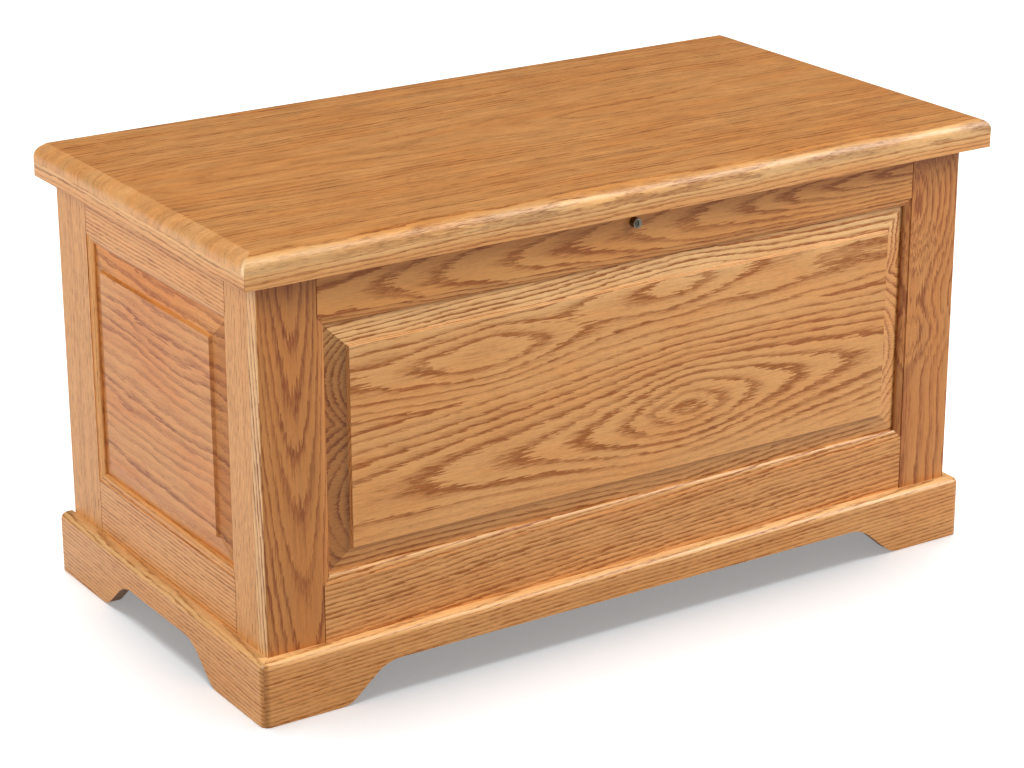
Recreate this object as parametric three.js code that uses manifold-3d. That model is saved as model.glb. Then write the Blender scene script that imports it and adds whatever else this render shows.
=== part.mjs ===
// A blanket chest in red oak: framed sides with raised panels, a lid with a
// chamfered edge on back hinges, a plinth with arched boards, a push lock and a lid stay.
// Millimetres. Z is up, the front faces -Y, and the floor is z = 0.
import * as THREE from 'three';
import { mergeVertices } from 'three/addons/utils/BufferGeometryUtils.js';
import Module from 'manifold-3d';

// Carcass
const bodyWidth = 915;
const bodyDepth = 469;
const bodyTop = 481.5;
const bodyBottom = 45;
const stock = 20; // thickness of the frame members
const postRadius = 2; // eased outer corners of the carcass
const postSteps = 4;

// Frame members, edge to edge with their moulded edge
const frontStileWidth = 77.5;
const sideFrontStileWidth = 56.5;
const sideBackStileWidth = 83;
const backStileWidth = 64;
const topRailWidth = 60.5;
const bottomRailWidth = 102;

// Moulded inner edge of the frame members
const stickWidth = 9.2;
const stickDepth = 6.5; // face to the front of the panel groove
const stickFillet = 1.1;
const stickLip = 1.4;
const stickSteps = 8;
const grooveWidth = 6.4;
const grooveDepth = 9.5;
const jointGap = 0.2; // glue line of the coped joints and play of a panel in its groove

// Raised panels
const panelPlay = 2.5; // room at the bottom of the groove
const bevelMargin = 1;
const bevelWidth = 23.2;
const bevelRise = 5;
const shoulderWidth = 2;
const shoulderRise = 3.8;

// Lid
const lidBoardThickness = 18.5;
const lidStripThickness = 16.5;
const lidGap = 0.3; // between the closed lid and the carcass
const lidSideOverhang = 24;
const lidFrontOverhang = 24;
const lidBackOverhang = 1.5;
const lidChamferWidth = 16.4;
const lidChamferDrop = 5.8;
const lidArrisRadius = 10; // between the top and the chamfer
const lidArrisSteps = 3;
const lidNoseRadius = 12;
const lidNoseSteps = 12;
const stripPastStrike = 5.5; // wood of the front strip behind the lock's strike
const backStripCover = 27; // how far the back strip reaches past the frame, into the chest
const lidBoardShares = [0.2, 0.21, 0.19, 0.21, 0.19]; // board widths, front to back
const lidOpenDegrees = 95;

// Plinth
const plinthHeight = 72.8;
const plinthStock = 14.5;
const plinthBackReach = 7; // how far its side boards pass the back of the carcass
const plinthEdgeRadius = 8;
const plinthCornerExtra = 1.5; // its corners are rounder than its top edge by this
const plinthRoundSteps = 8;
const apronHeight = 40; // floor to the underside of the arch
const frontFootLength = 92;
const sideFootLength = 105;
const archRun = 75; // length of the curve from foot to apron
const archToeRadius = 30;
const archCoveRadius = 47;
const archSteps = 12;
const cornerBlockWidth = 42;

// Floor of the chest
const floorThickness = 12;
const floorHeight = 92; // top of the floor panel
const floorPlay = 1;
const cleatSize = 20;

// Butt hinges
const hingeLength = 76;
const hingeInset = 128; // side wall of the chest to the near end of the hinge
const leafThickness = 2;
const leafWidth = 24;
const leafSideGap = 0.3;
const barrelRadius = 3.5;
const barrelToLid = 0.3;
const knuckleCount = 5;
const knuckleGap = 0.3;
const pinRadius = 1.8;
const pinPlay = 0.25;
const pinCapRadius = 2.6;
const pinCapThickness = 1.4;
const barrelSides = 20;
const screwHoleRadius = 2.2;
const screwHoleSides = 12;
const screwHoleEndInset = 11;

// Lid stay on the left side wall
const stayRadius = 100; // hinge axis to each pivot of the stay
const stayPinDrop = 46; // hinge axis down to the fixed pin
const stayArmWidth = 18;
const stayArmThickness = 3;
const stayPlateThickness = 2;
const stayPlateWidth = 26;
const stayPlateHeight = 22;
const stayGap = 0.5;
const stayPinRadius = 3;
const stayPinHeadRadius = 6;
const stayHeadThickness = 2;
const stayRivetRadius = 2.5;
const stayRivetHeadRadius = 5;
const stayRivetHeadThickness = 1.4;
const stayFlangeReach = 24;
const stayFlangeWidth = 30;
const stayEndMargin = 7; // metal left past the end of the slot
const staySides = 16;

// Push lock in the front rail
const lockDrop = 14.5; // top of the rail to the middle of the lock
const plungerRadius = 5.4;
const plungerProud = 7.5;
const plungerTravel = 7;
const plungerPlay = 0.35;
const plungerTail = 2; // how far it reaches past the back of the rail
const lockSides = 40;
const plugRadius = 3.6;
const plugPlay = 0.2;
const plugLength = 19;
const plugProud = 0.4;
const keyholeWidth = 1.2;
const keyholeHeight = 4.8;
const keyholeDepth = 4;
const lockCaseWidth = 46;
const lockCaseHeight = 32;
const lockCaseDepth = 20;
const lockCaseTopGap = 1;
const boltWidth = 9;
const boltThickness = 4;
const boltLength = 24;
const boltPlay = 0.4;
const boltBackWall = 2.5;
const boltTravel = 8;
const boltHeadroom = 2;
const strikeWidth = 42;
const strikeDepth = 14;
const strikeThickness = 2;

const overrun = 5; // how far every cutting shape passes the face it cuts

// Places that follow from the sizes
const halfWidth = bodyWidth / 2;
const innerHalf = halfWidth - stock;
const hingeReach = lidBackOverhang + barrelToLid + 2 * barrelRadius;
const backReach = Math.max(hingeReach, plinthBackReach);
const frontReach = Math.max(lidFrontOverhang, plinthStock);
const frontY = -(frontReach + bodyDepth + backReach) / 2 + frontReach;
const backY = frontY + bodyDepth;
const innerFrontY = frontY + stock;
const innerBackY = backY - stock;
const lidUnder = bodyTop + lidGap;
const lidBoardUnder = lidUnder + lidStripThickness;
const lidTop = lidBoardUnder + lidBoardThickness;
const lidFrontY = frontY - lidFrontOverhang;
const lidBackY = backY + lidBackOverhang;
const lidHalf = halfWidth + lidSideOverhang;
const axisY = lidBackY + barrelToLid + barrelRadius;
const axisZ = bodyTop + lidGap / 2;
const panelReach = grooveDepth - panelPlay;

// Finishes
const oak = { color: 0xc8935a, roughness: 0.45, metalness: 0 };
const plainWood = { color: 0xbd8f5c, roughness: 0.65, metalness: 0 };
const nickel = { color: 0xb9b7b0, roughness: 0.3, metalness: 1 };

const wasm = await Module();
wasm.setup();

// Coordinates are kept to a micron, so that faces that meet have the same numbers.
const micron = (value) => Math.round(value * 1000) / 1000;

const chest = new THREE.Group();

// Lays a closed three.js geometry in the chest and makes a solid of it.
function solidFrom(geometry, place) {
  geometry.deleteAttribute('normal');
  geometry.deleteAttribute('uv');
  const merged = mergeVertices(geometry);
  const from = merged.getAttribute('position');
  const points = new Float32Array(from.count * 3);
  for (let i = 0; i < from.count; i += 1) {
    points.set(place(from.getX(i), from.getY(i), from.getZ(i)).map(micron), i * 3);
  }
  const corners = new Uint32Array(merged.getIndex().array);
  if (signedVolume(points, corners) < 0) corners.reverse();
  return new wasm.Manifold(new wasm.Mesh({ numProp: 3, vertProperties: points, triVerts: corners }));
}

function signedVolume(points, corners) {
  const a = new THREE.Vector3();
  const b = new THREE.Vector3();
  const c = new THREE.Vector3();
  let sum = 0;
  for (let i = 0; i < corners.length; i += 3) {
    a.fromArray(points, corners[i] * 3);
    b.fromArray(points, corners[i + 1] * 3);
    c.fromArray(points, corners[i + 2] * 3);
    sum += a.dot(b.cross(c));
  }
  return sum;
}

// Outline of [a, b] pairs, or a shape, pulled from one end to the other along the third direction.
function prism(outline, from, to, place, curveSegments = 1) {
  const corners = () => outline.map(([a, b]) => new THREE.Vector2(a, b));
  const shape = outline instanceof THREE.Shape ? outline : new THREE.Shape(corners());
  const geometry = new THREE.ExtrudeGeometry(shape, { depth: 1, bevelEnabled: false, curveSegments });
  return solidFrom(geometry, (a, b, t) => place(a, b, t < 0.5 ? from : to));
}

function block([x0, x1], [y0, y1], [z0, z1]) {
  const pick = (value, low, high) => (value < 0 ? low : high);
  const place = (x, y, z) => [pick(x, x0, x1), pick(y, y0, y1), pick(z, z0, z1)];
  return solidFrom(new THREE.BoxGeometry(1, 1, 1), place);
}

// Round bar from one end to the other; along says which way it runs.
const alongX = (a, b, t) => [t, a, b];
const alongY = (a, b, t) => [a, t, b];
const alongZ = (a, b, t) => [a, b, t];
function bar(radius, [a, b], [from, to], along, sides) {
  const place = (x, y, z) => along(a + x * radius, b + z * radius, y < 0 ? from : to);
  return solidFrom(new THREE.CylinderGeometry(1, 1, 1, sides), place);
}

function addPiece(name, solid, finish) {
  const { vertProperties, triVerts } = solid.getMesh();
  const geometry = new THREE.BufferGeometry();
  geometry.setAttribute('position', new THREE.BufferAttribute(new Float32Array(vertProperties), 3));
  geometry.setIndex(new THREE.BufferAttribute(new Uint32Array(triVerts), 1));
  geometry.computeVertexNormals();
  const mesh = new THREE.Mesh(geometry, new THREE.MeshStandardMaterial(finish));
  mesh.name = name;
  chest.add(mesh);
}

// Section of a frame member. s runs from its outer edge to its moulded inner edge, d from
// its face to its back. With a gap it is the shape that a coped end is cut to.
function memberSection(width, gap, cornerRadius = 0) {
  const past = gap > 0 ? overrun : 0;
  const arris = width - stickWidth;
  const ovoloDrop = stickDepth - stickFillet - stickLip;
  const points = [...outerCorner(cornerRadius, past), [arris + gap, -past]];
  for (let i = 0; i <= stickSteps; i += 1) {
    const turn = (i / stickSteps) * (Math.PI / 2);
    const drop = stickFillet + ovoloDrop * (1 - Math.cos(turn));
    points.push([arris + stickWidth * Math.sin(turn) + gap, drop - gap]);
  }
  points.push([width + gap, stickDepth + gap]);
  points.push([width - grooveDepth + gap, stickDepth + gap]);
  points.push([width - grooveDepth + gap, stickDepth + grooveWidth - gap]);
  points.push([width + gap, stickDepth + grooveWidth - gap]);
  points.push([width + gap, stock + past], [-past, stock + past]);
  return points;
}

// The outer corner of that section: eased, or sharp and moved out past it.
function outerCorner(radius, past) {
  if (radius === 0) return [[-past, -past]];
  const points = [];
  for (let i = 0; i <= postSteps; i += 1) {
    const turn = (1 + i / postSteps / 2) * Math.PI;
    points.push([radius + radius * Math.cos(turn), radius + radius * Math.sin(turn)]);
  }
  return points;
}

// One side of a raised panel, from the edge hidden in the groove to its middle.
function raisedSection(length) {
  const front = stickDepth + jointGap;
  const back = stickDepth + grooveWidth - jointGap;
  const steps = [
    [-panelReach, front],
    [bevelMargin, front],
    [bevelMargin + bevelWidth, front - bevelRise],
    [bevelMargin + bevelWidth + shoulderWidth, front - bevelRise - shoulderRise],
  ];
  const mirrored = steps.map(([s, d]) => [length - s, d]).reverse();
  return [...steps, ...mirrored, [length + panelReach, back], [-panelReach, back]];
}

function flatSection(length) {
  const front = stickDepth + jointGap;
  const back = stickDepth + grooveWidth - jointGap;
  const ends = [-panelReach, length + panelReach];
  return [[ends[0], front], [ends[1], front], [ends[1], back], [ends[0], back]];
}

// A glued frame and its panel. place turns (run along the frame, depth, height) into x, y, z.
// Its outer upright corners are eased by the radii.
function addFrame(name, memberNames, length, [firstStile, lastStile], panelSection, place, radii = [0, 0]) {
  const upright = (a, b, t) => place(a, b, t);
  const mirrored = (a, b, t) => place(length - a, b, t);
  const rows = [bodyBottom, bodyTop];
  const firstSection = memberSection(firstStile, 0, radii[0]);
  const lastSection = memberSection(lastStile, 0, radii[1]);
  addPiece(`${name}_${memberNames[0]}`, prism(firstSection, ...rows, upright), oak);
  addPiece(`${name}_${memberNames[1]}`, prism(lastSection, ...rows, mirrored), oak);

  const cutRows = [bodyBottom - overrun, bodyTop + overrun];
  const firstCut = prism(memberSection(firstStile, jointGap), ...cutRows, upright);
  const lastCut = prism(memberSection(lastStile, jointGap), ...cutRows, mirrored);
  const tongue = grooveDepth - panelPlay / 2;
  const railEnds = [firstStile - tongue, length - lastStile + tongue];
  const rail = (width, toHeight) => prism(
    memberSection(width, 0),
    ...railEnds,
    (s, d, run) => place(run, d, toHeight(s)),
  ).subtract(firstCut).subtract(lastCut);
  const topRail = rail(topRailWidth, (s) => bodyTop - s);
  const bottomRail = rail(bottomRailWidth, (s) => bodyBottom + s);

  const sill = bodyBottom + bottomRailWidth;
  const head = bodyTop - topRailWidth;
  const jambs = [firstStile, length - lastStile];
  const heights = [sill - panelReach, head + panelReach];
  const across = prism(panelSection(jambs[1] - jambs[0]), ...heights, (s, d, z) => place(jambs[0] + s, d, z));
  const upward = prism(panelSection(head - sill), jambs[0] - panelReach, jambs[1] + panelReach,
    (s, d, run) => place(run, d, sill + s));
  return { topRail, bottomRail, panel: across.intersect(upward) };
}

// Front frame, with the bore for the lock in its top rail
const frontPlace = (run, depth, z) => [-halfWidth + run, frontY + depth, z];
const front = addFrame('front', ['left_stile', 'right_stile'], bodyWidth,
  [frontStileWidth, frontStileWidth], raisedSection, frontPlace, [postRadius, postRadius]);
const lockZ = bodyTop - lockDrop;
const lockBore = bar(plungerRadius + plungerPlay, [0, lockZ],
  [frontY - overrun, innerFrontY + overrun], alongY, lockSides);
addPiece('front_top_rail', front.topRail.subtract(lockBore), oak);
addPiece('front_bottom_rail', front.bottomRail, oak);
addPiece('front_panel', front.panel, oak);

// Side frames behind the front frame
for (const [side, sign] of [['left', -1], ['right', 1]]) {
  const place = (run, depth, z) => [sign * (halfWidth - depth), innerFrontY + run, z];
  const frame = addFrame(`${side}_side`, ['front_stile', 'back_stile'], bodyDepth - stock,
    [sideFrontStileWidth, sideBackStileWidth], raisedSection, place, [0, postRadius]);
  addPiece(`${side}_side_top_rail`, frame.topRail, oak);
  addPiece(`${side}_side_bottom_rail`, frame.bottomRail, oak);
  addPiece(`${side}_side_panel`, frame.panel, oak);
}

// Back frame between the side frames, its moulded face outwards
const backPlace = (run, depth, z) => [innerHalf - run, backY - depth, z];
const back = addFrame('back', ['right_stile', 'left_stile'], 2 * innerHalf,
  [backStileWidth, backStileWidth], flatSection, backPlace);
const hingeEnds = [-1, 1].map((sign) => {
  const near = sign * (innerHalf - hingeInset);
  return [near, near - sign * hingeLength].sort((a, b) => a - b);
});
const leafFrontY = axisY - leafWidth;
const mortise = (zRange) => ([x0, x1]) => block(
  [x0 - leafSideGap, x1 + leafSideGap],
  [leafFrontY - leafSideGap, lidBackY + overrun],
  zRange,
);
const bodyMortises = hingeEnds.map(mortise([bodyTop - leafThickness, bodyTop + overrun]));
addPiece('back_top_rail', back.topRail.subtract(bodyMortises[0]).subtract(bodyMortises[1]), oak);
addPiece('back_bottom_rail', back.bottomRail, oak);
addPiece('back_panel', back.panel, plainWood);

// Floor panel on four cleats
const floorUnder = floorHeight - floorThickness;
addPiece('floor_panel', block(
  [-innerHalf + floorPlay, innerHalf - floorPlay],
  [innerFrontY + floorPlay, innerBackY - floorPlay],
  [floorUnder, floorHeight],
), plainWood);
const addCleat = (side, xRange, yRange) => {
  addPiece(`floor_cleat_${side}`, block(xRange, yRange, [floorUnder - cleatSize, floorUnder]), plainWood);
};
const cleatRun = [innerFrontY + cleatSize, innerBackY - cleatSize];
addCleat('front', [-innerHalf, innerHalf], [innerFrontY, cleatRun[0]]);
addCleat('back', [-innerHalf, innerHalf], [cleatRun[1], innerBackY]);
addCleat('left', [-innerHalf, -innerHalf + cleatSize], cleatRun);
addCleat('right', [innerHalf - cleatSize, innerHalf], cleatRun);

// Plinth: one rounded ring, cut into mitred boards
const plinthHalf = halfWidth + plinthStock;
const plinthFrontY = frontY - plinthStock;
const plinthBackY = backY + plinthBackReach;
const plinthCornerRadius = plinthEdgeRadius + plinthCornerExtra;

// Plan of the ring's outside, with round front corners, drawn in from it by an inset.
function plinthPlan(inset) {
  const radius = plinthCornerRadius - inset;
  const x = plinthHalf - inset;
  const centre = [plinthHalf - plinthCornerRadius, plinthFrontY + plinthCornerRadius];
  const plan = [[x, plinthBackY + overrun], [-x, plinthBackY + overrun]];
  for (const [sign, start] of [[-1, Math.PI], [1, 1.5 * Math.PI]]) {
    for (let i = 0; i <= plinthRoundSteps; i += 1) {
      const angle = start + (i / plinthRoundSteps) * (Math.PI / 2);
      plan.push([sign * centre[0] + radius * Math.cos(angle), centre[1] + radius * Math.sin(angle)]);
    }
  }
  return plan;
}

// The ring's outside as a stack of slices that follow the round of its top edge.
function plinthOutside() {
  let outside = prism(plinthPlan(0), 0, plinthHeight - plinthEdgeRadius, alongZ);
  for (let i = 0; i < plinthRoundSteps; i += 1) {
    const low = plinthRoundHeight(i);
    const high = plinthRoundHeight(i + 1);
    outside = outside.add(taperedSlice(plinthInset(i), plinthInset(i + 1), low, high));
  }
  return outside;
}
function plinthRoundHeight(step) {
  const turn = (step / plinthRoundSteps) * (Math.PI / 2);
  return plinthHeight - plinthEdgeRadius + plinthEdgeRadius * Math.sin(turn);
}
function plinthInset(step) {
  const turn = (step / plinthRoundSteps) * (Math.PI / 2);
  return plinthEdgeRadius * (1 - Math.cos(turn));
}

// A slice whose plan shrinks from one inset to the next.
function taperedSlice(insetLow, insetHigh, low, high) {
  const lowPlan = plinthPlan(insetLow);
  const highPlan = plinthPlan(insetHigh);
  const nearest = (a, b) => {
    const away = lowPlan.map(([x, y]) => (x - a) ** 2 + (y - b) ** 2);
    return away.indexOf(Math.min(...away));
  };
  return prism(lowPlan, low, high, (a, b, z) => (
    z === low ? [a, b, low] : [...highPlan[nearest(a, b)], high]
  ));
}

// Cuts the arch between the feet of a board: feet at both ends, run along the board.
function archOutline(from, to) {
  const half = [[from, -overrun], [from, 0]];
  const toe = archToeRadius;
  const cove = archCoveRadius;
  const rise = apronHeight;
  const run = archRun;
  // The straight between the two arcs leans so that it touches both.
  const between = rise - toe - cove;
  const lean = Math.asin(Math.min((toe + cove) / Math.hypot(run, between), 1)) + Math.atan2(between, run);
  for (let i = 0; i <= archSteps; i += 1) {
    const turn = (i / archSteps) * lean;
    half.push([from + toe * Math.sin(turn), toe * (1 - Math.cos(turn))]);
  }
  for (let i = archSteps; i >= 0; i -= 1) {
    const turn = (i / archSteps) * lean;
    half.push([from + run - cove * Math.sin(turn), rise - cove * (1 - Math.cos(turn))]);
  }
  const mirrored = half.map(([s, z]) => [from + to - s, z]).reverse();
  return [...half, ...mirrored];
}

const plinthRows = [-overrun, plinthHeight + overrun];
const ring = plinthOutside()
  .subtract(block([-halfWidth, halfWidth], [frontY, plinthBackY + 2 * overrun], plinthRows));
// Wedges on the mitre lines, held apart by the glue line
const mitreReach = plinthStock + overrun;
const mitreGap = jointGap / 2;
const frontWedge = prism([
  [-halfWidth - mitreReach + mitreGap, frontY - mitreReach],
  [halfWidth + mitreReach - mitreGap, frontY - mitreReach],
  [halfWidth - mitreGap, frontY],
  [-halfWidth + mitreGap, frontY],
], ...plinthRows, alongZ);
const sideWedge = (sign) => prism([
  [sign * (halfWidth + mitreReach + mitreGap), frontY - mitreReach],
  [sign * (halfWidth + mitreReach + mitreGap), plinthBackY],
  [sign * (halfWidth - overrun), plinthBackY],
  [sign * (halfWidth - overrun), frontY + overrun + mitreGap],
], ...plinthRows, alongZ);
const frontFoot = plinthHalf - frontFootLength;
const frontArch = prism(archOutline(-frontFoot, frontFoot), plinthFrontY - overrun, frontY + overrun, alongY);
const sideFeet = [plinthFrontY + sideFootLength, plinthBackY - sideFootLength];
const blockRows = [0, bodyBottom];
const backBoardFront = backY - plinthStock;
addPiece('plinth_front_board', ring.intersect(frontWedge).subtract(frontArch), oak);
addPiece('plinth_back_board', block([-halfWidth, halfWidth], [backBoardFront, backY], blockRows), plainWood);
for (const [side, sign] of [['left', -1], ['right', 1]]) {
  const outwards = (from, to) => [sign * from, sign * to].sort((a, b) => a - b);
  const archRange = outwards(halfWidth - overrun, plinthHalf + overrun);
  const arch = prism(archOutline(...sideFeet), ...archRange, alongX);
  addPiece(`plinth_${side}_board`, ring.intersect(sideWedge(sign)).subtract(arch), oak);
  const xRange = outwards(halfWidth - cornerBlockWidth, halfWidth);
  const frontRange = [frontY, frontY + cornerBlockWidth];
  const backRange = [backBoardFront - cornerBlockWidth, backBoardFront];
  addPiece(`corner_block_front_${side}`, block(xRange, frontRange, blockRows), plainWood);
  addPiece(`corner_block_back_${side}`, block(xRange, backRange, blockRows), plainWood);
}

// Lid: edge-glued boards under one chamfered edge on the front and both ends
function edgeProfile() {
  const slope = Math.atan2(lidChamferDrop, lidChamferWidth);
  const arrisX = lidChamferWidth + lidArrisRadius * Math.tan(slope / 2);
  const points = [];
  for (let i = 0; i <= lidArrisSteps; i += 1) {
    const angle = Math.PI / 2 + (i / lidArrisSteps) * slope;
    points.push([arrisX + lidArrisRadius * Math.cos(angle), lidArrisRadius * (Math.sin(angle) - 1)]);
  }
  const turn = Math.PI / 2 - slope;
  const tangent = lidNoseRadius * Math.tan(turn / 2);
  const centre = [lidNoseRadius, -lidChamferDrop - tangent];
  for (let i = 0; i <= lidNoseSteps; i += 1) {
    const angle = Math.PI / 2 + slope + (i / lidNoseSteps) * turn;
    points.push([centre[0] + lidNoseRadius * Math.cos(angle), centre[1] + lidNoseRadius * Math.sin(angle)]);
  }
  return points; // [distance in from the edge, height against the top]
}
const edge = edgeProfile();
const endSection = [
  ...edge.map(([s, z]) => [-lidHalf + s, lidTop + z]),
  [-lidHalf, lidBoardUnder],
  [lidHalf, lidBoardUnder],
  ...edge.map(([s, z]) => [lidHalf - s, lidTop + z]).reverse(),
];
const lidDepth = lidBackY - lidFrontY;
const boardSeams = [lidFrontY];
for (const share of lidBoardShares) boardSeams.push(boardSeams[boardSeams.length - 1] + share * lidDepth);
boardSeams[boardSeams.length - 1] = lidBackY;
lidBoardShares.forEach((share, i) => {
  let board = prism(endSection, boardSeams[i], boardSeams[i + 1], (x, z, y) => [x, y, z]);
  if (i === 0) {
    const frontSection = [
      ...edge.map(([s, z]) => [lidFrontY + s, lidTop + z]),
      [lidFrontY, lidBoardUnder],
      [boardSeams[1], lidBoardUnder],
      [boardSeams[1], lidTop],
    ];
    board = board.intersect(prism(frontSection, -lidHalf - overrun, lidHalf + overrun, alongX));
  }
  addPiece(`lid_board_${i + 1}`, board, oak);
});

// Build-up strips under the lid's edge
const stripRows = [lidUnder, lidBoardUnder];
const stripWidth = lidHalf - innerHalf;
const backStripFront = innerBackY - backStripCover;
const boltY = innerFrontY + lockCaseDepth - boltBackWall - boltThickness / 2;
const frontStripBack = boltY + strikeDepth / 2 + stripPastStrike;
const strikeRangeY = [boltY - strikeDepth / 2, boltY + strikeDepth / 2];
const strikeRangeX = [-strikeWidth / 2, strikeWidth / 2];
const boltTop = bodyTop - lockCaseTopGap;
const boltHole = (grow, zRange) => block(
  [-boltWidth / 2 - grow, boltWidth / 2 + grow],
  [boltY - boltThickness / 2 - grow, boltY + boltThickness / 2 + grow],
  zRange,
);
const strikePocket = block(
  [strikeRangeX[0] - leafSideGap, strikeRangeX[1] + leafSideGap],
  [strikeRangeY[0] - leafSideGap, strikeRangeY[1] + leafSideGap],
  [lidUnder - overrun, lidUnder + strikeThickness],
);
const boltWell = boltHole(2 * boltPlay, [lidUnder - overrun, boltTop + boltTravel + boltHeadroom]);
// The front corners are mitred, and the front strip is deeper than the mitre.
const frontStripHalf = [
  [lidHalf - mitreGap, lidFrontY],
  [innerHalf - mitreGap, lidFrontY + stripWidth],
  [innerHalf - mitreGap, frontStripBack],
];
const frontStripPlan = [...frontStripHalf, ...frontStripHalf.map(([x, y]) => [-x, y]).reverse()];
addPiece('lid_strip_front', prism(frontStripPlan, ...stripRows, alongZ)
  .subtract(strikePocket).subtract(boltWell), oak);
const lidMortises = hingeEnds.map(mortise([lidUnder - overrun, lidUnder + leafThickness]));
addPiece('lid_strip_back', block([-innerHalf, innerHalf], [backStripFront, lidBackY], stripRows)
  .subtract(lidMortises[0]).subtract(lidMortises[1]), oak);
for (const [side, sign] of [['left', -1], ['right', 1]]) {
  const plan = [
    [sign * lidHalf, lidFrontY + mitreGap],
    [sign * lidHalf, lidBackY],
    [sign * innerHalf, lidBackY],
    [sign * innerHalf, lidFrontY + stripWidth + mitreGap],
  ];
  addPiece(`lid_strip_${side}`, prism(plan, ...stripRows, alongZ), oak);
}

// Butt hinges, let into the back rail and the lid
function addHinge(name, [x0, x1]) {
  const pitch = (x1 - x0) / knuckleCount;
  const plateEdge = axisY - barrelRadius - 2 * barrelToLid;
  const holes = [x0 + screwHoleEndInset, (x0 + x1) / 2, x1 - screwHoleEndInset];
  const bore = bar(pinRadius + pinPlay, [axisY, axisZ], [x0 - overrun, x1 + overrun], alongX, barrelSides);
  const leaves = [
    ['body', 0, [bodyTop - leafThickness, bodyTop]],
    ['lid', 1, [lidUnder, lidUnder + leafThickness]],
  ];
  for (const [half, first, rows] of leaves) {
    let leaf = block([x0, x1], [leafFrontY, plateEdge], rows);
    for (let i = first; i < knuckleCount; i += 2) {
      const reach = [x0 + i * pitch + knuckleGap / 2, x0 + (i + 1) * pitch - knuckleGap / 2];
      leaf = leaf.add(bar(barrelRadius, [axisY, axisZ], reach, alongX, barrelSides));
      leaf = leaf.add(block(reach, [plateEdge - leafThickness, axisY - pinRadius - 2 * pinPlay], rows));
    }
    leaf = leaf.subtract(bore);
    const drill = [rows[0] - overrun, rows[1] + overrun];
    const holeY = (leafFrontY + backY) / 2;
    for (const x of holes) {
      leaf = leaf.subtract(bar(screwHoleRadius, [x, holeY], drill, alongZ, screwHoleSides));
    }
    addPiece(`${name}_${half}_leaf`, leaf, nickel);
  }
  const pin = bar(pinRadius, [axisY, axisZ], [x0 - knuckleGap, x1 + knuckleGap], alongX, barrelSides);
  const cap = (from, to) => bar(pinCapRadius, [axisY, axisZ], [from, to], alongX, barrelSides);
  addPiece(`${name}_pin`, pin
    .add(cap(x0 - knuckleGap / 2 - pinCapThickness, x0 - knuckleGap / 2))
    .add(cap(x1 + knuckleGap / 2, x1 + knuckleGap / 2 + pinCapThickness)), nickel);
}
addHinge('left_hinge', hingeEnds[0]);
addHinge('right_hinge', hingeEnds[1]);

// Lid stay: a slotted arm that hangs from the lid and slides on a pin on the side wall
const wallX = -innerHalf;
const armX = [wallX + stayPlateThickness + stayGap, wallX + stayPlateThickness + stayGap + stayArmThickness];
const headX = [armX[1] + stayGap, armX[1] + stayGap + stayHeadThickness];
const pinAt = [axisY - Math.sqrt(stayRadius ** 2 - stayPinDrop ** 2), axisZ - stayPinDrop];
const pivotAt = [axisY - stayRadius, axisZ];
const openTurn = THREE.MathUtils.degToRad(lidOpenDegrees);
const pivotOpen = [axisY - stayRadius * Math.cos(openTurn), axisZ + stayRadius * Math.sin(openTurn)];
const closedSpan = Math.hypot(pinAt[0] - pivotAt[0], pinAt[1] - pivotAt[1]);
const openSpan = Math.hypot(pinAt[0] - pivotOpen[0], pinAt[1] - pivotOpen[1]);
const armHeading = [(pinAt[0] - pivotAt[0]) / closedSpan, (pinAt[1] - pivotAt[1]) / closedSpan];

// A bar with round ends in the plane of the arm, from one distance to another.
function roundBar(from, to, radius) {
  const shape = new THREE.Shape();
  shape.absarc(from, 0, radius, Math.PI / 2, 1.5 * Math.PI);
  shape.absarc(to, 0, radius, -Math.PI / 2, Math.PI / 2);
  return shape;
}
const armPlace = (a, b, x) => [
  x,
  pivotAt[0] + a * armHeading[0] - b * armHeading[1],
  pivotAt[1] + a * armHeading[1] + b * armHeading[0],
];
const slotRadius = stayPinRadius + stayGap;
const armEnd = openSpan + slotRadius + stayEndMargin - stayArmWidth / 2;
const armShape = roundBar(0, armEnd, stayArmWidth / 2);
const slot = roundBar(closedSpan - stayGap, openSpan + stayGap, slotRadius);
const eye = new THREE.Path();
eye.absarc(0, 0, stayRivetRadius + stayGap, 0, 2 * Math.PI);
armShape.holes.push(slot, eye);
addPiece('stay_arm', prism(armShape, ...armX, armPlace, staySides / 2), nickel);

const halfPlate = [stayPlateWidth / 2, stayPlateHeight / 2];
const wallPlate = block(
  [wallX, wallX + stayPlateThickness],
  [pinAt[0] - halfPlate[0], pinAt[0] + halfPlate[0]],
  [pinAt[1] - halfPlate[1], pinAt[1] + halfPlate[1]],
);
addPiece('stay_wall_pin', wallPlate
  .add(bar(stayPinRadius, pinAt, [wallX + stayPlateThickness / 2, headX[1]], alongX, staySides))
  .add(bar(stayPinHeadRadius, pinAt, headX, alongX, staySides)), nickel);

const tabShape = new THREE.Shape();
tabShape.absarc(pivotAt[0], pivotAt[1], stayArmWidth / 2, Math.PI, 2 * Math.PI);
tabShape.lineTo(pivotAt[0] + stayArmWidth / 2, lidBoardUnder);
tabShape.lineTo(pivotAt[0] - stayArmWidth / 2, lidBoardUnder);
const tabEye = new THREE.Path();
tabEye.absarc(...pivotAt, stayRivetRadius + jointGap, 0, 2 * Math.PI);
tabShape.holes.push(tabEye);
const flange = block(
  [headX[0], headX[0] + stayFlangeReach],
  [pivotAt[0] - stayFlangeWidth / 2, pivotAt[0] + stayFlangeWidth / 2],
  [lidBoardUnder - stayPlateThickness, lidBoardUnder],
);
addPiece('stay_lid_bracket', prism(tabShape, ...headX, alongX, staySides / 2).add(flange), nickel);

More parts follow.
